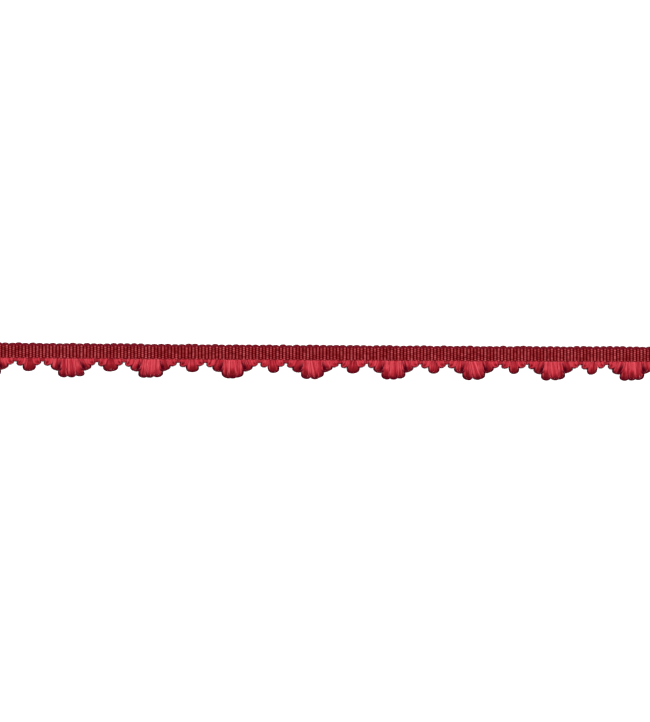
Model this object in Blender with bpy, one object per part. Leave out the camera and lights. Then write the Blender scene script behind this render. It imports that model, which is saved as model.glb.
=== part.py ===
"""Fan edge trim: a cut length of ribbed woven heading with a scalloped loop fringe, lying flat on its back.

The weft yarn crosses the heading once for each rib. At the top edge it turns round from one rib to the
next, which gives the row of small bumps. At the bottom edge it swings out as a loop for every second
rib. The loops come in four lengths, and their order makes the fans: edge turn, short, medium, three
long, medium, short, then edge turn, short, medium, short, and so on.

X runs along the trim, Y across it with the loops towards -Y, and Z up off the surface it lies on.
"""

import math
import random

import bpy
import bmesh
from mathutils import Vector

# Driving dimensions, in metres
RIB_PITCH = 0.00127        # one weft rib to the next, 20 to the inch
WARP_DEPTH = 0.0049        # width of the heading that the warp threads cover
TURN_REACH = 0.0009        # how far the weft turns stand past the warp at the top edge
THICKNESS = 0.0016         # back of the heading to the crest of a rib
RIB_RELIEF = 0.0005        # depth of the groove between two ribs
BOW = 0.00022              # how far the middle of the length lies below the line through its ends
CREEP = 0.00105            # how far the ribs at the middle lie to the right of their even places
PIECE_GAP = 0.0003         # clearance between the heading and the strip that carries the loops

# The weft turn at the top edge, seen in the heading's section
TURN_LOW = 0.0003          # underside of the turning yarn
TURN_HIGH = 0.00125        # top of the turning yarn
TURN_SHOULDER = 0.00016    # how far the turn falls back over a rib
TURN_NOTCH = 0.00062       # how far it falls back between two turns
TURN_UNEVEN = 0.00012      # how much one turn differs from the next

# The strip that holds the roots of the loops
STRIP_WIDTH = 0.00075
STRIP_THICKNESS = 0.0016
STRIP_CHAMFER = 0.00015
STRIP_STEPS = 14           # lengths that the strip's gentle bow is drawn in

# The flat lock of yarn that each loop is made of
LOCK_THICKNESS = 0.00045
LOCK_WIDTH_AT_ROOT = 0.00082
LEVEL_RUN = 0.0004         # distance below the strip in which a lock settles to its own layer
FAN_OUT = 1.6              # how late a loop spreads from its roots: 1 is at once, 2 is near the tip

# The layers that the loops lie in: height of the yarn's middle in the strip, and where it lies free
LAYERS = {
    "low": {"root": 0.0003, "free": 0.000225},
    "middle": {"root": 0.000775, "free": 0.000775},
    "high": {"root": 0.0013, "free": 0.001325},
}

# Each kind of loop: how far it drops, half its outer width, the width of its yarn at the tip,
# the layer that it lies in, and the steps that it is drawn in
LOOPS = {
    "edge": {"drop": 0.0013, "half_width": 0.0009, "yarn": 0.0006, "layer": "low", "steps": 4},
    "short": {"drop": 0.0027, "half_width": 0.0016, "yarn": 0.00105, "layer": "high", "steps": 8},
    "medium": {"drop": 0.0046, "half_width": 0.0020, "yarn": 0.00112, "layer": "middle", "steps": 10},
    "wide": {"drop": 0.0046, "half_width": 0.0027, "yarn": 0.00112, "layer": "low", "steps": 10},
    "long": {"drop": 0.0068, "half_width": 0.00175, "yarn": 0.00112, "layer": "low", "steps": 10},
    "centre": {"drop": 0.0069, "half_width": 0.00175, "yarn": 0.00112, "layer": "middle", "steps": 10},
}

# Each kind of fan: its loops from left to right, and how far each one's tip leans from its root
FANS = {
    "big": [
        ("short", -0.00078),
        ("medium", -0.00042),
        ("long", -0.0003),
        ("centre", 0.0),
        ("long", 0.0003),
        ("medium", 0.00042),
        ("short", 0.00078),
    ],
    "small": [
        ("short", -0.00076),
        ("wide", 0.0),
        ("short", 0.00076),
    ],
}

# The fans along the trim: how far the tips of each one's longest loops sway to the right, and how
# much wider than usual they spread at each side
TRIM = [
    ("big", 0.0, 0.0003),
    ("small", 0.0001, -0.0002),
    ("big", 0.0008, 0.0006),
    ("small", 0.0, 0.0002),
    ("big", -0.0003, 0.0001),
    ("small", 0.0004, -0.0002),
    ("big", 0.0003, -0.0008),
    ("small", 0.0005, -0.0005),
    ("big", -0.0002, -0.0004),
    ("small", 0.0, -0.0002),
    ("big", 0.0002, 0.0),
    ("small", 0.0004, -0.0005),
    ("big", 0.0004, -0.0004),
    ("small", 0.0004, -0.0007),
    ("big", 0.0, 0.0001),
    ("small", -0.0005, -0.0007),
    ("big", -0.0005, 0.0002),
]
LOOP_UNEVEN = 0.0001       # how much the drop and the lean of one loop differ from the next
UNEVEN_SEED = 7

LOOP_PITCH = 2 * RIB_PITCH
STRIP_TOP = -PIECE_GAP
STRIP_BOTTOM = STRIP_TOP - STRIP_WIDTH


def loops_along_the_trim():
    """One entry for each loop: its kind, the lean of its tip and how much wider it is at each side."""
    row = [("edge", 0.0, 0.0)]
    for fan, sway, spread in TRIM:
        for kind, lean in FANS[fan]:
            outward = math.copysign(spread, lean * spread) if kind == "long" else 0.0
            row.append((
                kind,
                lean + outward + (0.0 if kind == "short" else sway),
                spread if kind == "wide" else 0.0,
            ))
        row.append(("edge", 0.0, 0.0))
    return row


ROW = loops_along_the_trim()
LENGTH = len(ROW) * LOOP_PITCH


def bow(x):
    """How far the trim lies below the line through its ends."""
    return -BOW * (1 - (2 * x / LENGTH) ** 2)


def new_mesh_object(name, bm, collection):
    """Closes the mesh's books and puts it in the collection."""
    bmesh.ops.recalc_face_normals(bm, faces=bm.faces)
    mesh = bpy.data.meshes.new(name)
    bm.to_mesh(mesh)
    bm.free()
    obj = bpy.data.objects.new(name, mesh)
    collection.objects.link(obj)
    return obj


def loft(bm, sections):
    """Skins a row of sections that have the same number of points, and caps both ends."""
    rings = [[bm.verts.new(point) for point in section] for section in sections]
    for near, far in zip(rings, rings[1:]):
        for i in range(len(near)):
            j = (i + 1) % len(near)
            bm.faces.new((near[i], near[j], far[j], far[i]))
    bm.faces.new(rings[0])
    bm.faces.new(reversed(rings[-1]))


def heading_section(x, top, edge):
    """The heading cut across at x: flat back, rounded weft turn at the top edge, ribbed face."""
    outline = [
        (0.0, 0.0),
        (WARP_DEPTH, 0.0),
        (edge, TURN_LOW),
        (edge, TURN_HIGH),
        (WARP_DEPTH, top),
        (0.0, top),
    ]
    return [Vector((x, y + bow(x), z)) for y, z in outline]


def build_heading(collection):
    """The ribbed band, lofted from a section on each rib and one in each groove."""
    uneven = random.Random(UNEVEN_SEED)
    full = WARP_DEPTH + TURN_REACH
    groove = THICKNESS - RIB_RELIEF
    sections = []
    for loop in range(len(ROW)):
        left = -LENGTH / 2 + loop * LOOP_PITCH
        reach = full - TURN_UNEVEN * uneven.random()
        sections += [
            heading_section(left, groove, reach),
            heading_section(left + 0.5 * RIB_PITCH, THICKNESS, reach - TURN_SHOULDER),
            heading_section(left + RIB_PITCH, groove, full - TURN_NOTCH),
            heading_section(left + 1.5 * RIB_PITCH, THICKNESS, reach - TURN_SHOULDER),
        ]
    sections.append(heading_section(LENGTH / 2, groove, full))
    bm = bmesh.new()
    loft(bm, sections)
    return new_mesh_object("heading", bm, collection)


def strip_section(x):
    """The root strip cut across at x: flat underneath, with its upper corners taken off."""
    shoulder = STRIP_THICKNESS - STRIP_CHAMFER
    outline = [
        (STRIP_BOTTOM, 0.0),
        (STRIP_TOP, 0.0),
        (STRIP_TOP, shoulder),
        (STRIP_TOP - STRIP_CHAMFER, STRIP_THICKNESS),
        (STRIP_BOTTOM + STRIP_CHAMFER, STRIP_THICKNESS),
        (STRIP_BOTTOM, shoulder),
    ]
    return [Vector((x, y + bow(x), z)) for y, z in outline]


def build_strip(collection):
    """The narrow strip along the heading's lower edge, in which every loop is rooted."""
    sections = [strip_section((i / STRIP_STEPS - 0.5) * LENGTH) for i in range(STRIP_STEPS + 1)]
    bm = bmesh.new()
    loft(bm, sections)
    return new_mesh_object("fan_fringe", bm, collection)


def smooth(share):
    """Eases from 0 to 1 with level ends."""
    share = min(1.0, max(0.0, share))
    return share * share * (3 - 2 * share)


def swell_for(half_width):
    """How far a loop must swell past its roots for its yarn to lie half_width out at its widest."""
    cosine = math.sqrt(1 / (1 + FAN_OUT))
    sine = math.sqrt(FAN_OUT / (1 + FAN_OUT))
    return (half_width / cosine - RIB_PITCH / 2) / sine ** FAN_OUT


def loop_centreline(centre, kind, lean, widening, drop):
    """The middle of the yarn round one loop: out of the strip, round the tip and back in."""
    size = LOOPS[kind]
    layer = LAYERS[size["layer"]]
    root_y = (STRIP_TOP + STRIP_BOTTOM) / 2
    run = drop - size["yarn"] / 2 + root_y
    swell = swell_for(size["half_width"] + widening - size["yarn"] / 2)
    line = []
    for i in range(size["steps"] + 1):
        turn = math.pi * i / size["steps"]
        share = math.sin(turn)
        opened = share ** FAN_OUT
        x = centre - math.cos(turn) * (RIB_PITCH / 2 + swell * opened) + lean * opened
        y = root_y - run * share
        settled = smooth((STRIP_BOTTOM - y) / LEVEL_RUN)
        height = layer["root"] + (layer["free"] - layer["root"]) * settled
        line.append((Vector((x, y + bow(x), height)), share))
    return line


def lock_sections(line, tip_width):
    """A flat section across the yarn at each point of the centreline, changing to tip_width."""
    sections = []
    for i, (point, share) in enumerate(line):
        before = line[max(i - 1, 0)][0]
        after = line[min(i + 1, len(line) - 1)][0]
        along = after - before
        across = Vector((-along.y, along.x, 0.0)).normalized()
        width = LOCK_WIDTH_AT_ROOT + (tip_width - LOCK_WIDTH_AT_ROOT) * smooth(share)
        side = across * (width / 2)
        up = Vector((0.0, 0.0, LOCK_THICKNESS / 2))
        sections.append([point - side - up, point + side - up, point + side + up, point - side + up])
    return sections


def build_loops(collection):
    """Every loop of the fringe, as separate closed locks in one mesh."""
    uneven = random.Random(UNEVEN_SEED)
    bm = bmesh.new()
    for number, (kind, lean, widening) in enumerate(ROW):
        centre = -LENGTH / 2 + (number + 0.5) * LOOP_PITCH
        drop_change = LOOP_UNEVEN * uneven.uniform(-1, 1)
        lean_change = LOOP_UNEVEN * uneven.uniform(-1, 1)
        if kind == "edge":
            drop_change = lean_change = 0.0
        drop = LOOPS[kind]["drop"] + drop_change
        line = loop_centreline(centre, kind, lean + lean_change, widening, drop)
        loft(bm, lock_sections(line, LOOPS[kind]["yarn"]))
    return new_mesh_object("loops", bm, collection)


def apply_modifiers(obj):
    """Swaps the object's mesh for the one that its modifiers give."""
    bpy.context.view_layer.update()
    evaluated = obj.evaluated_get(bpy.context.evaluated_depsgraph_get())
    mesh = bpy.data.meshes.new_from_object(evaluated)
    obj.modifiers.clear()
    obj.data = mesh


def build_fringe(collection):
    """The root strip with every loop fused into it."""
    fringe = build_strip(collection)
    loops = build_loops(collection)
    union = fringe.modifiers.new("roots", "BOOLEAN")
    union.operation = "UNION"
    union.solver = "MANIFOLD"
    union.object = loops
    apply_modifiers(fringe)
    bpy.data.objects.remove(loops)
    return fringe


def yarn_material(name, colour, roughness):
    """A dyed yarn, in one plain colour."""
    material = bpy.data.materials.new(name)
    material.use_nodes = True
    shader = material.node_tree.nodes["Principled BSDF"]
    shader.inputs["Base Color"].default_value = (*colour, 1.0)
    shader.inputs["Roughness"].default_value = roughness
    shader.inputs["Metallic"].default_value = 0.0
    return material


def lay_in_place(objects):
    """Draws the ribs along between the two ends, and puts the middle of the outline on the X axis."""
    ys = [vertex.co.y for obj in objects for vertex in obj.data.vertices]
    middle = (min(ys) + max(ys)) / 2
    for obj in objects:
        for vertex in obj.data.vertices:
            vertex.co.x += CREEP * (1 - (2 * vertex.co.x / LENGTH) ** 2)
            vertex.co.y -= middle


def main():
    for obj in list(bpy.data.objects):
        bpy.data.objects.remove(obj)
    collection = bpy.data.collections.new("fan_edge_trim")
    bpy.context.scene.collection.children.link(collection)
    heading = build_heading(collection)
    fringe = build_fringe(collection)
    lay_in_place([heading, fringe])
    heading.data.materials.clear()
    heading.data.materials.append(yarn_material("crimson_warp", (0.23, 0.014, 0.021), 0.55))
    fringe.data.materials.clear()
    fringe.data.materials.append(yarn_material("red_floss", (0.47, 0.034, 0.05), 0.4))


main()
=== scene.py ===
import math
import random

import bpy
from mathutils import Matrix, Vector, noise


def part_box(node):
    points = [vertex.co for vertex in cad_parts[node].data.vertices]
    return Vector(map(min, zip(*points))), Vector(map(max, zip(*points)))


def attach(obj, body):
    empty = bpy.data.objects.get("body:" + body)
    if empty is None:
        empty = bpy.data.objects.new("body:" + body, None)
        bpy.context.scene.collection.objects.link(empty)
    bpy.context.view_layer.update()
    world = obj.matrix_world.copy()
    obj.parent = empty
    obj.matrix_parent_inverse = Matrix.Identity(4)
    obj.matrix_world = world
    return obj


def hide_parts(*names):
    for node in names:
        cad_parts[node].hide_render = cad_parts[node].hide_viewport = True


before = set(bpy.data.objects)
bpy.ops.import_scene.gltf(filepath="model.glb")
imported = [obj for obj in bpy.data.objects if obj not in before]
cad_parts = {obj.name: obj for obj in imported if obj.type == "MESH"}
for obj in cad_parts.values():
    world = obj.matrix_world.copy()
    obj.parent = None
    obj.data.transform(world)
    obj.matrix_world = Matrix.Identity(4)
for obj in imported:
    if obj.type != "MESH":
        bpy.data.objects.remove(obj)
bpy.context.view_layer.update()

# Weft ribs. The weft floss crosses the heading once for each rib, as a soft round bundle that lies
# straight across. The warp covers it on both faces, so it shows only in the grooves, at the lower
# edge, where it leaves for the loops, and at the two cut ends.
RIB_PITCH = 0.00127
RIB_COUNT = 210
TRIM_LENGTH = RIB_PITCH * RIB_COUNT
SAG = 0.00022                      # the middle of the length lies this far below its ends
CREEP = 0.00105                    # and its ribs this far to the right of even places
WARP_DEPTH = 0.00465
LOWER_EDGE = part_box("heading")[0].y + SAG
MID_HEIGHT = 0.0008
RIB_WIDTH = 0.00098
RIB_HEIGHT = 0.00088
RIB_OVERLAP = 0.0001               # how far a rib passes the covered width at either side


def lay_in_place(piece):
    """Lays a straight piece along the slight sag of the trim, with the ribs as uneven as they are."""
    for vertex in piece.data.vertices:
        middle = 1 - (2 * vertex.co.x / TRIM_LENGTH) ** 2
        vertex.co.x += CREEP * middle
        vertex.co.y -= SAG * middle


def keep_modifiers(piece):
    """Applies the modifiers of a piece in their order."""
    bpy.context.view_layer.objects.active = piece
    for modifier in list(piece.modifiers):
        bpy.ops.object.modifier_apply(modifier=modifier.name)


def join_pieces(pieces, name):
    """Joins like pieces into one, with its origin at the frame's."""
    bpy.ops.object.select_all(action="DESELECT")
    for piece in pieces:
        piece.select_set(True)
    bpy.context.view_layer.objects.active = pieces[0]
    if len(pieces) > 1:
        bpy.ops.object.join()
    bpy.ops.object.transform_apply(location=True, rotation=True, scale=True)
    joined = bpy.context.object
    joined.name = joined.data.name = name
    return joined


def floss_dye(name, dark, middle, bright, painted_shade_colour, roughness):
    """Dyed floss: fine fibres along each strand, a painted lighter top and painted shade where marked."""
    material = bpy.data.materials.new(name)
    material.use_nodes = True
    nodes, links = material.node_tree.nodes, material.node_tree.links
    shader = nodes["Principled BSDF"]
    shader.inputs["Roughness"].default_value = roughness

    strand = nodes.new("ShaderNodeAttribute")
    strand.attribute_name = "strand"
    parts = nodes.new("ShaderNodeSeparateColor")
    links.new(strand.outputs["Color"], parts.inputs["Color"])
    gloss = nodes.new("ShaderNodeMapRange")
    gloss.inputs["To Min"].default_value = 0.04
    gloss.inputs["To Max"].default_value = 0.0
    links.new(parts.outputs["Green"], gloss.inputs["Value"])
    links.new(gloss.outputs["Result"], shader.inputs["Specular IOR Level"])

    fibre = nodes.new("ShaderNodeAttribute")
    fibre.attribute_name = "fibre"
    streak = nodes.new("ShaderNodeTexNoise")
    streak.inputs["Scale"].default_value = 2.2
    streak.inputs["Detail"].default_value = 4.0
    streak.inputs["Roughness"].default_value = 0.65
    links.new(fibre.outputs["Vector"], streak.inputs["Vector"])

    dye_and_painted_shade = nodes.new("ShaderNodeMath")
    dye_and_painted_shade.operation = "MULTIPLY_ADD"
    dye_and_painted_shade.inputs[1].default_value = 0.75
    links.new(streak.outputs["Fac"], dye_and_painted_shade.inputs[0])
    tone = nodes.new("ShaderNodeMath")
    tone.operation = "MULTIPLY_ADD"
    tone.inputs[1].default_value = 0.65
    tone.inputs[2].default_value = -0.6
    links.new(parts.outputs["Red"], tone.inputs[0])
    # painted light and shade: the side of a strand that faces up is made lighter, its sides darker
    tone_and_painted_top_light = nodes.new("ShaderNodeMath")
    tone_and_painted_top_light.operation = "MULTIPLY_ADD"
    tone_and_painted_top_light.inputs[1].default_value = 0.5
    links.new(parts.outputs["Blue"], tone_and_painted_top_light.inputs[0])
    links.new(tone.outputs["Value"], tone_and_painted_top_light.inputs[2])
    links.new(tone_and_painted_top_light.outputs["Value"], dye_and_painted_shade.inputs[2])
    ramp = nodes.new("ShaderNodeValToRGB")
    ramp.color_ramp.elements[0].position = 0.12
    ramp.color_ramp.elements[0].color = (*dark, 1.0)
    ramp.color_ramp.elements[1].position = 1.0
    ramp.color_ramp.elements[1].color = (*bright, 1.0)
    ramp.color_ramp.elements.new(0.5).color = (*middle, 1.0)
    links.new(dye_and_painted_shade.outputs["Value"], ramp.inputs["Fac"])

    # painted shade: where a strand is marked as shaded, its colour is mixed toward the shade colour
    shaded = nodes.new("ShaderNodeMix")
    shaded.data_type = "RGBA"
    shaded.inputs["B"].default_value = (*painted_shade_colour, 1.0)
    links.new(parts.outputs["Green"], shaded.inputs["Factor"])
    links.new(ramp.outputs["Color"], shaded.inputs["A"])
    links.new(shaded.outputs["Result"], shader.inputs["Base Color"])

    bump = nodes.new("ShaderNodeBump")
    bump.inputs["Strength"].default_value = 0.5
    bump.inputs["Distance"].default_value = 0.00005
    links.new(streak.outputs["Fac"], bump.inputs["Height"])
    links.new(bump.outputs["Normal"], shader.inputs["Normal"])
    return material


def mark_strand(strand, sides, route, radius, tone, shade, twist, seed):
    """Writes along a strand its tone, its painted shade, which of it faces up, and its fibres' run."""
    placed = [strand.matrix_world @ vertex.co for vertex in strand.data.vertices]
    travelled = 0.0
    colours, fibres = [], []
    for i, point in enumerate(route):
        travelled += (point - route[i - 1]).length if i else 0.0
        for side in range(sides):
            turn = 2 * math.pi * side / sides + twist * travelled
            # how far a side faces up, which the dye paints lighter: painted light on the top of each strand
            facing_up = 0.5 + 0.5 * (placed[i * sides + side].z - point.z) / radius
            colours += [tone[i], shade[i], facing_up, 1.0]
            fibres += [travelled * 260 + seed, math.cos(turn) + seed, math.sin(turn)]
    strand.data.attributes.new("strand", "FLOAT_COLOR", "POINT").data.foreach_set("color", colours)
    strand.data.attributes.new("fibre", "FLOAT_VECTOR", "POINT").data.foreach_set("vector", fibres)


bpy.ops.object.select_all(action="DESELECT")
rib_middle = Vector((-TRIM_LENGTH / 2 + RIB_PITCH / 2, LOWER_EDGE + WARP_DEPTH / 2, MID_HEIGHT))
bpy.ops.mesh.primitive_cylinder_add(
    vertices=10, radius=0.5, depth=WARP_DEPTH + 2 * RIB_OVERLAP,
    location=rib_middle, rotation=(math.pi / 2, 0.0, 0.0),
)
rib_weft = bpy.context.object
bpy.ops.object.mode_set(mode="EDIT")
bpy.ops.transform.resize(value=(RIB_WIDTH, 1.0, RIB_HEIGHT), center_override=rib_middle)
bpy.ops.mesh.select_all(action="DESELECT")
bpy.ops.object.mode_set(mode="OBJECT")
for face in rib_weft.data.polygons:
    face.select = len(face.vertices) > 4
bpy.ops.object.mode_set(mode="EDIT")
bpy.ops.mesh.inset(thickness=0.00018)
bpy.ops.transform.resize(value=(1.0, 1.02, 1.0), center_override=rib_middle)
bpy.ops.object.mode_set(mode="OBJECT")
bpy.ops.object.transform_apply(location=True, rotation=True, scale=True)
row = rib_weft.modifiers.new("row", "ARRAY")
row.count = RIB_COUNT
row.use_relative_offset = False
row.use_constant_offset = True
row.constant_offset_displace = (RIB_PITCH, 0.0, 0.0)
keep_modifiers(rib_weft)
rib_weft.name = rib_weft.data.name = "rib_weft"
rib_tone_and_shade, rib_fibres = [], []
for vertex in rib_weft.data.vertices:
    rib = math.floor((vertex.co.x + TRIM_LENGTH / 2) / RIB_PITCH)
    across = (vertex.co.x + TRIM_LENGTH / 2) / RIB_PITCH - rib - 0.5
    # a fixed tone, painted shade of 0.55 as the weft lies in the grooves, and half facing up
    rib_tone_and_shade += [0.35, 0.55, 0.5, 1.0]
    rib_fibres += [vertex.co.y * 260 + rib, across * 6, (vertex.co.z - MID_HEIGHT) * 5000]
rib_weft.data.attributes.new("strand", "FLOAT_COLOR", "POINT").data.foreach_set("color", rib_tone_and_shade)
rib_weft.data.attributes.new("fibre", "FLOAT_VECTOR", "POINT").data.foreach_set("vector", rib_fibres)
lay_in_place(rib_weft)
bpy.ops.object.shade_smooth_by_angle(angle=math.radians(50))
red_floss = floss_dye(
    "red_floss",
    dark=(0.12, 0.0, 0.002), middle=(0.375, 0.015, 0.028), bright=(0.63, 0.088, 0.112),
    painted_shade_colour=(0.048, 0.0, 0.005), roughness=0.45,
)
rib_weft.data.materials.append(red_floss)
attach(rib_weft, "root")

# Warp. Thirteen spun threads run the whole length, each over one rib and under the next. Neighbours
# alternate, so that every rib shows a row of flattened beads and the groove is where the threads
# dive. The dye is a darker crimson than the floss. This woven band is what holds the trim together.
WARP_ENDS = 13
END_PITCH = WARP_DEPTH / WARP_ENDS
CREST = 0.00064                    # middle of a thread above the middle of the heading
THREAD_THICKNESS = 0.00026
BEAD_WIDTH = 0.00074               # a thread where it crosses a rib
DIVE_WIDTH = 0.00040               # and where it dives between two ribs
STEPS_A_RIB = 5
THREAD_SIDES = 6

first = Vector((-TRIM_LENGTH / 2, LOWER_EDGE + END_PITCH / 2, MID_HEIGHT))
wave = []
for step in range(2 * STEPS_A_RIB + 1):
    turn = math.pi * (step % STEPS_A_RIB) / STEPS_A_RIB
    rib = step // STEPS_A_RIB
    up = 1 if rib % 2 == 0 else -1
    along = (rib + 0.5 - 0.5 * math.cos(turn)) * RIB_PITCH
    height = up * CREST * math.sin(turn)
    lean = math.atan2(up * CREST * math.cos(turn), 0.5 * RIB_PITCH * max(math.sin(turn), 0.35))
    width = DIVE_WIDTH + (BEAD_WIDTH - DIVE_WIDTH) * math.sin(turn)
    wave.append((first + Vector((along, 0.0, height)), lean, width))
bpy.ops.object.select_all(action="DESELECT")
bpy.ops.mesh.primitive_circle_add(
    vertices=THREAD_SIDES, radius=THREAD_THICKNESS / 2, fill_type="NOTHING",
    location=wave[0][0], rotation=(0.0, math.pi / 2 - wave[0][1], 0.0),
)
over_thread = bpy.context.object
bpy.ops.object.mode_set(mode="EDIT")
bpy.ops.transform.resize(value=(1.0, wave[0][2] / THREAD_THICKNESS, 1.0), center_override=wave[0][0])
for (start, lean_before, width_before), (end, lean, width) in zip(wave, wave[1:]):
    bpy.ops.mesh.extrude_region_move(TRANSFORM_OT_translate={"value": end - start})
    bpy.ops.transform.rotate(value=lean - lean_before, orient_axis="Y", center_override=end)
    bpy.ops.transform.resize(value=(1.0, width / width_before, 1.0), center_override=end)
bpy.ops.object.mode_set(mode="OBJECT")
bpy.ops.object.transform_apply(location=True, rotation=True, scale=True)
length = over_thread.modifiers.new("length", "ARRAY")
length.count = RIB_COUNT // 2
length.use_relative_offset = False
length.use_constant_offset = True
length.constant_offset_displace = (2 * RIB_PITCH, 0.0, 0.0)
length.use_merge_vertices = True
length.merge_threshold = 0.00002
keep_modifiers(over_thread)
bpy.ops.object.mode_set(mode="EDIT")
bpy.ops.mesh.select_all(action="SELECT")
bpy.ops.mesh.fill_holes(sides=0)
bpy.ops.mesh.normals_make_consistent(inside=False)
bpy.ops.object.mode_set(mode="OBJECT")

under_thread = over_thread.copy()
under_thread.data = over_thread.data.copy()
bpy.context.collection.objects.link(under_thread)
bpy.ops.object.select_all(action="DESELECT")
under_thread.select_set(True)
bpy.context.view_layer.objects.active = under_thread
bpy.ops.object.mode_set(mode="EDIT")
bpy.ops.mesh.select_all(action="SELECT")
bpy.ops.transform.resize(value=(1.0, 1.0, -1.0), center_override=first)
bpy.ops.transform.translate(value=(0.0, END_PITCH, 0.0))
bpy.ops.mesh.normals_make_consistent(inside=False)
bpy.ops.object.mode_set(mode="OBJECT")
for thread, count in ((over_thread, (WARP_ENDS + 1) // 2), (under_thread, WARP_ENDS // 2)):
    ends = thread.modifiers.new("ends", "ARRAY")
    ends.count = count
    ends.use_relative_offset = False
    ends.use_constant_offset = True
    ends.constant_offset_displace = (0.0, 2 * END_PITCH, 0.0)
    keep_modifiers(thread)
heading_warp = join_pieces([over_thread, under_thread], "heading_warp")

cut = random.Random(3)
stray = [[cut.uniform(0.0, 0.0005) for end in range(WARP_ENDS)] for side in range(2)]
for vertex in heading_warp.data.vertices:
    end = min(WARP_ENDS - 1, max(0, math.floor((vertex.co.y - LOWER_EDGE) / END_PITCH)))
    drift = noise.noise(Vector((vertex.co.x * 260, end * 7.3, 0.0)))
    lift = noise.noise(Vector((vertex.co.x * 500, end * 3.1, 5.0)))
    vertex.co.y += 0.00006 * drift
    vertex.co.z += 0.00005 * lift * (vertex.co.z - MID_HEIGHT) / CREST
    if abs(vertex.co.x) > TRIM_LENGTH / 2 - 0.0001:
        vertex.co.x += math.copysign(stray[vertex.co.x > 0][end], vertex.co.x)
# how strong the painted highlight is on each rib's crest
rib_highlight_strength = [cut.uniform(0.5, 1.0) for rib in range(RIB_COUNT + 2)]
crests = []
for vertex in heading_warp.data.vertices:
    place_in_ribs = (vertex.co.x + TRIM_LENGTH / 2) / RIB_PITCH
    rib = min(RIB_COUNT, max(0, math.floor(place_in_ribs)))
    crests += [rib_highlight_strength[rib], rib_highlight_strength[rib], rib_highlight_strength[rib], 1.0]
heading_warp.data.attributes.new("crest", "FLOAT_COLOR", "POINT").data.foreach_set("color", crests)
lay_in_place(heading_warp)
bpy.ops.object.shade_smooth()


def thread_dye(name, dark, bright, crest_highlight_colour):
    """Spun crimson thread: fibres along it, beads of uneven depth, and a painted greyish highlight on the
    crests.
    """
    material = bpy.data.materials.new(name)
    material.use_nodes = True
    nodes, links = material.node_tree.nodes, material.node_tree.links
    shader = nodes["Principled BSDF"]
    shader.inputs["Roughness"].default_value = 0.5
    shader.inputs["Specular IOR Level"].default_value = 0.0
    place = nodes.new("ShaderNodeTexCoord")

    spread = nodes.new("ShaderNodeMapping")
    spread.inputs["Scale"].default_value = (1500.0, 9000.0, 9000.0)
    links.new(place.outputs["Object"], spread.inputs["Vector"])
    fibre = nodes.new("ShaderNodeTexNoise")
    fibre.inputs["Scale"].default_value = 1.0
    fibre.inputs["Detail"].default_value = 4.0
    links.new(spread.outputs["Vector"], fibre.inputs["Vector"])

    bead = nodes.new("ShaderNodeTexNoise")
    bead.inputs["Scale"].default_value = 900.0
    bead.inputs["Detail"].default_value = 1.0
    links.new(place.outputs["Object"], bead.inputs["Vector"])

    both = nodes.new("ShaderNodeMath")
    both.operation = "ADD"
    links.new(fibre.outputs["Fac"], both.inputs[0])
    links.new(bead.outputs["Fac"], both.inputs[1])
    ramp = nodes.new("ShaderNodeValToRGB")
    ramp.color_ramp.elements[0].position = 0.36
    ramp.color_ramp.elements[0].color = (*dark, 1.0)
    ramp.color_ramp.elements[1].position = 0.66
    ramp.color_ramp.elements[1].color = (*bright, 1.0)
    half = nodes.new("ShaderNodeMath")
    half.operation = "MULTIPLY"
    half.inputs[1].default_value = 0.5
    links.new(both.outputs["Value"], half.inputs[0])
    links.new(half.outputs["Value"], ramp.inputs["Fac"])

    height = nodes.new("ShaderNodeSeparateXYZ")
    links.new(place.outputs["Object"], height.inputs["Vector"])
    # painted highlight: the higher the thread stands on a crest, the more it turns a greyish pink
    crest = nodes.new("ShaderNodeMapRange")
    crest.inputs["From Min"].default_value = MID_HEIGHT + 0.95 * CREST
    crest.inputs["From Max"].default_value = MID_HEIGHT + 1.17 * CREST
    links.new(height.outputs["Z"], crest.inputs["Value"])
    rib = nodes.new("ShaderNodeAttribute")
    rib.attribute_name = "crest"
    patch = nodes.new("ShaderNodeMapRange")
    patch.inputs["From Min"].default_value = 0.3
    patch.inputs["From Max"].default_value = 0.6
    patch.inputs["To Min"].default_value = 0.35
    links.new(bead.outputs["Fac"], patch.inputs["Value"])
    uneven_rib = nodes.new("ShaderNodeMath")
    uneven_rib.operation = "MULTIPLY"
    links.new(patch.outputs["Result"], uneven_rib.inputs[0])
    links.new(rib.outputs["Fac"], uneven_rib.inputs[1])
    painted_crest_highlight = nodes.new("ShaderNodeMath")
    painted_crest_highlight.operation = "MULTIPLY"
    links.new(crest.outputs["Result"], painted_crest_highlight.inputs[0])
    links.new(uneven_rib.outputs["Value"], painted_crest_highlight.inputs[1])
    crest_highlight_mix = nodes.new("ShaderNodeMix")
    crest_highlight_mix.data_type = "RGBA"
    crest_highlight_mix.inputs["B"].default_value = (*crest_highlight_colour, 1.0)
    links.new(painted_crest_highlight.outputs["Value"], crest_highlight_mix.inputs["Factor"])
    links.new(ramp.outputs["Color"], crest_highlight_mix.inputs["A"])
    links.new(crest_highlight_mix.outputs["Result"], shader.inputs["Base Color"])

    bump = nodes.new("ShaderNodeBump")
    bump.inputs["Strength"].default_value = 0.5
    bump.inputs["Distance"].default_value = 0.00004
    links.new(fibre.outputs["Fac"], bump.inputs["Height"])
    links.new(bump.outputs["Normal"], shader.inputs["Normal"])
    return material


heading_warp.data.materials.append(
    thread_dye(
        "crimson_thread",
        dark=(0.10, 0.0, 0.001), bright=(0.19, 0.0005, 0.003), crest_highlight_colour=(0.47, 0.09, 0.105),
    )
)
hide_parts("heading")
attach(heading_warp, "root")

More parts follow.
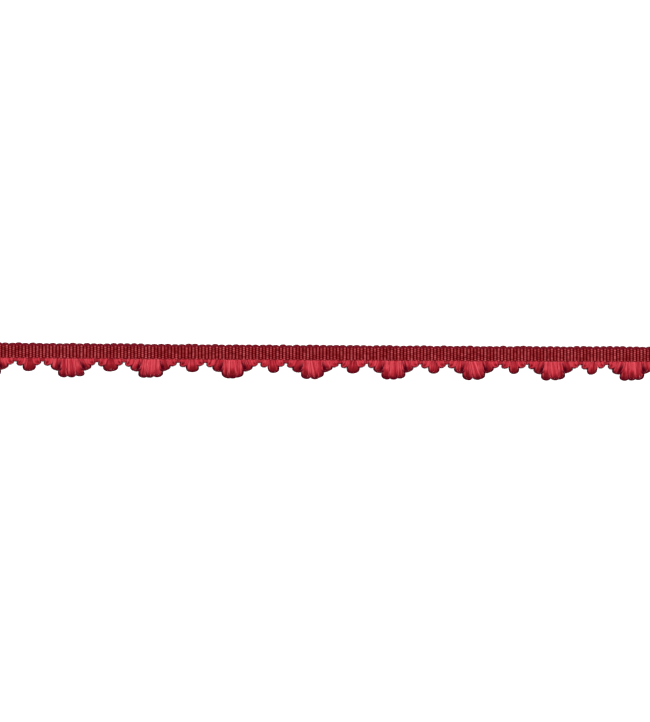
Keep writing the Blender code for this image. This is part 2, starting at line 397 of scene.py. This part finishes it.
# Edge turns. At the top edge the weft comes out of one rib and goes back in at the next, as a short
# round turn of the same floss. It is modelled once and copied for each pair of ribs, and no two
# copies stand out quite alike.
TURN_REACH = 0.0013                # how far a turn stands past the warp
TURN_MID = 0.000775
BUNDLE_RADIUS = 0.00044            # from the middle of the bundle to its outer strands' middles
TURN_STRAND = 0.00025
TURN_STRANDS = 7
TURN_STEPS = 8
TURN_SWELL = 0.00035               # how much a turn widens past the warp
TURN_BLUNT = 0.9                   # how flat its top is: 1 is round
TURN_ROOT = 0.0005                 # how far each leg runs back under the warp
TURN_TWIST = 900.0                 # radians a metre


def draw_strand(route, radius, tone, shade, seed, sides=5, twist=500.0):
    """One strand: a disc pushed from point to point of its route, and turned to face the way it goes."""
    ways = [route[min(i + 1, len(route) - 1)] - route[max(i - 1, 0)] for i in range(len(route))]
    bpy.ops.object.select_all(action="DESELECT")
    bpy.ops.mesh.primitive_circle_add(
        vertices=sides, radius=radius, fill_type="NGON",
        location=route[0], rotation=ways[0].to_track_quat("Z", "Y").to_euler(),
    )
    strand = bpy.context.object
    bpy.ops.object.mode_set(mode="EDIT")
    for i in range(1, len(route)):
        bpy.ops.mesh.extrude_region_move(TRANSFORM_OT_translate={"value": route[i] - route[i - 1]})
        turn = ways[i - 1].xy.angle_signed(ways[i].xy, 0.0)
        if abs(turn) > 0.001:
            bpy.ops.transform.rotate(value=turn, orient_axis="Z", center_override=route[i])
    bpy.ops.object.mode_set(mode="OBJECT")
    mark_strand(strand, sides, route, radius, tone, shade, twist, seed)
    return strand


turn_base = LOWER_EDGE + WARP_DEPTH - TURN_ROOT
turn_rise = TURN_REACH - BUNDLE_RADIUS - TURN_STRAND
plied = random.Random(11)
strands = []
for number in range(TURN_STRANDS):
    ring = 0.0 if number == 0 else BUNDLE_RADIUS
    route, shade = [], []
    for step in range(-2, TURN_STEPS + 3):
        bend = math.pi * min(max(step, 0), TURN_STEPS) / TURN_STEPS
        wind = 2 * math.pi * number / (TURN_STRANDS - 1) + TURN_TWIST * RIB_PITCH * bend / math.pi
        outward, upward = ring * math.cos(wind), ring * math.sin(wind)
        x = -math.cos(bend) * (RIB_PITCH / 2 + outward + TURN_SWELL * math.sqrt(math.sin(bend)))
        y = turn_base + TURN_ROOT + math.sin(bend) ** TURN_BLUNT * (turn_rise + outward)
        y -= TURN_ROOT * (max(-step, step - TURN_STEPS, 0) / 2)
        route.append(Vector((x, y, TURN_MID + upward)))
        # painted shade, light on the legs and deepest at the top of the turn
        shade.append(0.15 + 0.45 * math.sin(bend))
    tone = [plied.uniform(0.1, 0.7)] * len(route)
    strands.append(draw_strand(route, TURN_STRAND, tone, shade, plied.uniform(0, 50)))
one_turn = join_pieces(strands, "one_turn")
turns = []
for pair in range(1, RIB_COUNT // 2):
    turn = one_turn.copy()
    turn.data = one_turn.data.copy()
    bpy.context.collection.objects.link(turn)
    reach = plied.uniform(0.8, 1.05)
    lift = 0.00008 * plied.uniform(-1, 1)
    shift = 0.0002 * plied.uniform(-1, 1)
    for vertex in turn.data.vertices:
        past = max(0.0, vertex.co.y - turn_base - TURN_ROOT)
        vertex.co.y += past * (reach - 1)
        vertex.co.z += lift * past / TURN_REACH
        vertex.co.x += -TRIM_LENGTH / 2 + 2 * RIB_PITCH * pair + shift * past / TURN_REACH
    turns.append(turn)
bpy.data.objects.remove(one_turn)
edge_turns = join_pieces(turns, "edge_turns")
lay_in_place(edge_turns)
bpy.ops.object.shade_smooth()
# the turns take a darker copy of the floss: painted shade
edge_turns.data.materials.append(
    floss_dye(
        "shaded_floss",
        dark=(0.10, 0.001, 0.006), middle=(0.19, 0.007, 0.015), bright=(0.30, 0.02, 0.034),
        painted_shade_colour=(0.09, 0.002, 0.008), roughness=0.45,
    )
)
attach(edge_turns, "root")

# Fan loops. At the lower edge the weft leaves one rib, runs out as a loose loop of floss strands and
# goes back in at the next. Loops of four lengths come in a fixed order and make the big and the
# small fans. The short rings lie on top, the medium loops under them and the long ones lowest. All
# but the short ones and the edge loops between the fans are filled with strands that run straight
# out and fold over inside the rim.
LEVEL_RUN = 0.0005
ROOT_DEPTH = 0.0004                # the strands start this far inside the heading
LAYERS = {"low": 0.00027, "middle": 0.0008, "high": 0.00132}
# For each kind of loop: how far it drops, half its width, how late it spreads from its roots, how
# flat its tip is (1 is round), its layer, from which share of its drop the rim is painted in deep
# shade on its outer and on its inner side, how many steps a ring has, how many rings, how many
# folded strands, half the width these start from, and how bright they are
LOOPS = {
    "edge": (0.0015, 0.0013, 1.1, 0.8, "low", 0.2, 0.2, 8, 9, 0, 0.0, 0.0),
    "short": (0.0032, 0.00145, 1.1, 0.8, "high", 0.2, 0.6, 14, 11, 0, 0.0, 0.0),
    "medium": (0.0052, 0.0021, 1.1, 0.75, "middle", 0.2, 0.6, 16, 4, 11, 0.0015, 0.45),
    "wide": (0.0052, 0.0027, 1.0, 0.75, "low", 0.2, 0.2, 16, 4, 14, 0.0016, 0.4),
    "long": (0.0074, 0.0019, 1.3, 0.55, "low", 0.3, 0.7, 18, 4, 11, 0.0013, 0.65),
    "centre": (0.0073, 0.0019, 1.3, 0.55, "middle", 0.75, 0.75, 18, 3, 11, 0.0013, 0.65),
}
# For each loop of a fan: how far it leans, how much it is drawn up at one side (the right where
# above 0, the left where below), how much longer it is, how far its inner strands slant, and how
# dark the painted shade in its hollow is
FANS = {
    "big": [
        ("short", -0.0010, -0.15, 0.0, -0.0003, 0.8), ("medium", -0.0007, -0.15, 0.0, -0.0012, 0.4),
        ("long", -0.0003, -0.08, 0.0002, -0.0003, 1.0), ("centre", 0.0, 0.0, 0.0, 0.0, 1.0),
        ("long", 0.0003, 0.1, -0.0001, 0.0003, 1.0), ("medium", 0.0006, 0.3, 0.0, 0.0010, 0.7),
        ("short", 0.0010, 0.4, 0.0, 0.0004, 0.8),
    ],
    "small": [
        ("short", -0.0010, -0.15, 0.0, -0.0003, 0.8), ("wide", 0.0, 0.08, 0.0, 0.0, 0.6),
        ("short", 0.0010, 0.4, 0.0, 0.0004, 0.8),
    ],
}
# For each fan along the trim: how far it sways to the right, how much wider it spreads, how far its
# middle strands slant right, and how dark the painted shade in its longest loops' hollows is
TRIM = [
    ("big", 0.0, 0.0003, 0.0, (0.4, 0.2, 0.4)), ("small", 0.0001, -0.0002, -0.001, (0.7,)),
    ("big", 0.0008, 0.0006, 0.0, (0.1, 0.0, 0.6)), ("small", 0.0, 0.0002, 0.0006, (0.5,)),
    ("big", -0.0003, 0.0001, -0.0003, (0.5, 0.1, 0.5)), ("small", 0.0004, -0.0002, -0.0008, (0.9,)),
    ("big", 0.0003, -0.0008, 0.0, (0.9, 0.9, 0.3)), ("small", 0.0005, -0.0005, 0.0005, (0.8,)),
    ("big", -0.0002, -0.0004, 0.0011, (0.9, 0.1, 0.2)), ("small", 0.0, -0.0002, -0.0009, (0.8,)),
    ("big", 0.0002, 0.0, 0.0, (0.9, 0.3, 0.5)), ("small", 0.0004, -0.0005, 0.0, (0.4,)),
    ("big", 0.0004, -0.0004, 0.0011, (0.8, 0.2, 0.4)), ("small", 0.0004, -0.0007, 0.0004, (0.8,)),
    ("big", 0.0, 0.0001, 0.0008, (0.9, 0.1, 0.6)), ("small", -0.0005, -0.0007, -0.0003, (0.6,)),
    ("big", -0.0005, 0.0002, 0.0, (0.9, 0.9, 0.2)),
]
LOOP_UNEVEN = 0.0001
FLOSS_STRAND = 0.00014             # radius of one strand
RIM_PITCH = 0.0002                 # from ring to ring in the rim of a filled loop
# Along a folded strand: how far out it is, and how far across its own width
FOLD = [(0.0, -1.0), (0.07, -1.0), (0.2, -1.0), (0.45, -1.0), (0.7, -1.0), (0.88, -0.95), (0.97, -0.7)]
FOLD += [(1.0, 0.0)] + [(out, -across) for out, across in reversed(FOLD)]


def eased(share):
    share = min(1.0, max(0.0, share))
    return share * share * (3 - 2 * share)


def ring_point(loop, nest, turn):
    """Where a ring of a loop lies at one turn of its way: how far aside, how far below, how far opened."""
    _, half_width, fan_out, blunt = LOOPS[loop["kind"]][:4]
    half_width += loop["widening"]
    widest = (0.02 + 0.98 * nest) * (half_width - FLOSS_STRAND)
    root_half = 0.00008 + 0.00104 * nest
    swell = (widest * math.sqrt(1 + fan_out) - root_half) / (fan_out / (1 + fan_out)) ** (fan_out / 2)
    run = (loop["drop"] - FLOSS_STRAND) * (0.66 + 0.34 * nest ** 0.7) + ROOT_DEPTH
    opened = math.sin(turn) ** fan_out
    aside = -math.cos(turn) * (root_half + swell * opened)
    below = run * math.sin(turn) ** blunt - ROOT_DEPTH
    if below > 0:
        drawn_up = 0.5 + 0.5 * math.copysign(aside / half_width, aside * loop["slant"])
        below *= 1 - abs(loop["slant"]) * drawn_up * opened
    return aside, below, opened


def ring_strand(loop, nest, tone, seed):
    """A strand that goes round as a ring, from rib to rib. nest is 0 for the innermost, 1 for the outermost."""
    _, half_width, _, _, layer, outer_start, inner_start, steps, _, folded, _, _ = LOOPS[loop["kind"]]
    level = LAYERS[layer] + 0.00016 * math.sin(math.pi * nest) - 0.00012 * (1 - nest)
    lean = loop["lean"] + (0.0 if folded else loop["slope"] * (1 - nest))
    depth = 0.0009 if folded else 0.0007
    loose = 0.4 if folded else 1.0
    route, tones, shade = [], [], []
    for step in range(steps + 1):
        turn = math.pi * step / steps
        aside, below, opened = ring_point(loop, nest, turn)
        stray = noise.noise_vector(Vector((seed, 1.6 * turn, 0.0))) * opened * loose
        settled = eased(below / LEVEL_RUN)
        root_height = MID_HEIGHT + (nest - 0.5) * 0.0003
        z = root_height + (level - root_height) * settled + 0.00007 * stray.z * settled
        x = loop["centre"] + aside + lean * opened + 0.00012 * stray.x
        route.append(Vector((x, LOWER_EDGE - below + 0.00006 * stray.y, z)))
        outer = 0.5 + 0.5 * max(-1.0, min(1.0, 3 * aside / half_width * loop["side"]))
        start = inner_start + (outer_start - inner_start) * outer
        # painted shade on the outer rings of a loop, from the given share of its drop on
        painted_rim_shade = eased(1.3 - (1 - nest) * half_width / depth)
        shade.append(0.96 * painted_rim_shade * eased((below / loop["drop"] - start) / 0.2))
        # painted shade in the hollow of a ring: its inner strands take a lower tone
        hollow_shade = loop["hollow_shade"] * max(0.0, 1 - nest / 0.6) * eased((opened - 0.3) / 0.4)
        tones.append(max(0.0, tone - hollow_shade))
    return route, tones, shade


def folded_strand(loop, place, half_span, tone, seed):
    """A strand that runs out to the rim, folds over and comes back beside itself. place is -1 to 1 across."""
    _, half_width, _, _, layer, _, _, _, rings, _, gathered, _ = LOOPS[loop["kind"]]
    nest = 1 - (rings - 1.5) * RIM_PITCH / half_width
    route, tones, shade = [], [], []
    for number, (out, across) in enumerate(FOLD):
        here = place + half_span * across
        tip_aside, tip_below, tip_opened = ring_point(loop, nest, math.acos(-here))
        start = here * gathered - 0.5 * loop["slope"]
        stray = noise.noise_vector(Vector((seed, 0.35 * number, 0.0))) * out
        below = (tip_below + ROOT_DEPTH) * out - ROOT_DEPTH
        settled = eased(below / LEVEL_RUN)
        level = LAYERS[layer] + 0.00012 - 0.00005 * across
        z = MID_HEIGHT + (level - MID_HEIGHT) * settled + 0.00008 * stray.z * settled
        x = loop["centre"] + start + (tip_aside + loop["lean"] * tip_opened - start) * out
        route.append(Vector((x + 0.0001 * stray.x, LOWER_EDGE - below, z)))
        # painted shade in the hollow, by a lower tone across the middle of the loop
        hollow_shade = loop["hollow_shade"] * eased(1.4 - abs(here) / 0.4) * eased((out - 0.45) / 0.3)
        # painted shade: the tone darkens towards the bottom of the loop
        low = 0.45 * eased((below / loop["drop"] - 0.5) / 0.4)
        tones.append(max(0.0, tone - max(hollow_shade, low)))
        # painted shade where a medium loop lies against the long ones
        painted_contact_shade = 0.0
        if loop["kind"] == "medium":
            painted_contact_shade = 0.95 * eased((-here * loop["side"] + 0.1) / 0.4) * eased((out - 0.3) / 0.3)
        # and painted shade where the strands fold over at the rim
        shade.append(max(painted_contact_shade, 0.85 * eased((out - 0.83) / 0.15)))
    return route, tones, shade


uneven, floss = random.Random(7), random.Random(29)
edge_loop = {
    "kind": "edge", "side": 1.0, "lean": 0.0, "widening": 0.0, "slant": 0.0, "longer": 0.0,
    "slope": 0.0, "hollow_shade": 0.4,
}
row = [("small", edge_loop)]
for fan, sway, spread, fan_slope, hollow_shades in TRIM:
    longest = 0
    for kind, lean, slant, longer, slope, hollow_shade in FANS[fan]:
        loop = dict(edge_loop, kind=kind, lean=lean, slant=slant, longer=longer, slope=slope, hollow_shade=hollow_shade)
        loop["side"] = math.copysign(1.0, lean)
        if kind != "short":
            loop["lean"] += sway
        if kind == "long":
            loop["lean"] += math.copysign(spread, lean * spread)
            loop["slope"] += 0.7 * fan_slope
        if kind == "centre":
            loop["lean"] += fan_slope
        if kind == "wide":
            loop["widening"] = spread
        if kind in ("centre", "wide"):
            loop["slope"] = fan_slope
        if kind in ("long", "centre", "wide"):
            loop["hollow_shade"] = hollow_shades[longest]
            longest += 1
        row.append((fan, loop))
    row.append(("small", edge_loop))
laid = {"big": [], "small": []}
for number, (fan, planned) in enumerate(row):
    loop = dict(planned)
    drop, half_width, *_, rings, folded, _, bright = LOOPS[loop["kind"]]
    loop["centre"] = -TRIM_LENGTH / 2 + (2 * number + 1) * RIB_PITCH
    loop["drop"] = drop + loop["longer"] + LOOP_UNEVEN * uneven.uniform(-1, 1)
    loop["lean"] += LOOP_UNEVEN * uneven.uniform(-1, 1)
    strands = []
    for ring in range(rings):
        nest = 1 - ring * RIM_PITCH / half_width if folded else ring / (rings - 1)
        seed = floss.uniform(0, 200)
        tone = 0.55 + 0.3 * floss.uniform(-1, 1)
        route, tones, shade = ring_strand(loop, nest, tone, seed)
        strands.append(draw_strand(route, FLOSS_STRAND, tones, shade, seed))
    for strand_number in range(folded):
        place = 0.97 * ((2 * strand_number + 1) / folded - 1)
        seed = floss.uniform(0, 200)
        tone = min(1.0, max(0.0, bright + 0.4 * floss.uniform(-1, 1)))
        route, tones, shade = folded_strand(loop, place, 0.48 / folded, tone, seed)
        strands.append(draw_strand(route, FLOSS_STRAND, tones, shade, seed))
    laid[fan].append(join_pieces(strands, f"loop_{number}"))
for fan, name in (("big", "big_fan_loops"), ("small", "small_fan_loops")):
    loops = join_pieces(laid[fan], name)
    lay_in_place(loops)
    bpy.ops.object.shade_smooth()
    loops.data.materials.append(red_floss)
    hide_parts("fan_fringe")
    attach(loops, "root")

# Floor, light and camera: a plain white floor, a soft light box straight above, and the camera
# looking straight down on the trim with its left end a little high, as in the photograph.
FLOOR_HALF = 1.5
PICTURE_HEIGHT = 0.2731            # what the picture spans at the trim, up and down
CAMERA_LENS = 100.0
CAMERA_SENSOR = 36.0
CAMERA_X = 0.00564
CAMERA_Y = 0.0001
CAMERA_ROLL = math.radians(0.365)

bpy.ops.object.select_all(action="DESELECT")
bpy.ops.mesh.primitive_plane_add(size=2 * FLOOR_HALF, location=(0.0, 0.0, 0.0))
floor = bpy.context.object
floor.name = floor.data.name = "floor"
white = bpy.data.materials.new("white_paper")
white.use_nodes = True
white_shader = white.node_tree.nodes["Principled BSDF"]
white_shader.inputs["Base Color"].default_value = (0.93, 0.93, 0.93, 1.0)
white_shader.inputs["Roughness"].default_value = 0.95
white_shader.inputs["Specular IOR Level"].default_value = 0.0
floor.data.materials.append(white)

world = bpy.data.worlds.new("studio")
bpy.context.scene.world = world
world.use_nodes = True
world.node_tree.nodes["Background"].inputs["Color"].default_value = (1.0, 1.0, 1.0, 1.0)
world.node_tree.nodes["Background"].inputs["Strength"].default_value = 0.45

bpy.ops.object.light_add(type="AREA", location=(0.0, 0.12, 0.9))
light_box = bpy.context.object
light_box.name = "light_box"
light_box.data.shape = "SQUARE"
light_box.data.size = 0.45
light_box.data.energy = 11.0
light_box.rotation_euler = (math.atan2(-0.12, 0.9), 0.0, 0.0)

distance = PICTURE_HEIGHT / 2 / (CAMERA_SENSOR / 2 / CAMERA_LENS)
bpy.ops.object.camera_add(
    location=(CAMERA_X, CAMERA_Y, MID_HEIGHT + distance), rotation=(0.0, 0.0, CAMERA_ROLL)
)
camera = bpy.context.object
camera.data.lens = CAMERA_LENS
camera.data.sensor_width = CAMERA_SENSOR
camera.data.clip_start = 0.01
camera.data.clip_end = 10.0
bpy.context.scene.camera = camera
bpy.context.scene.view_settings.view_transform = "Standard"
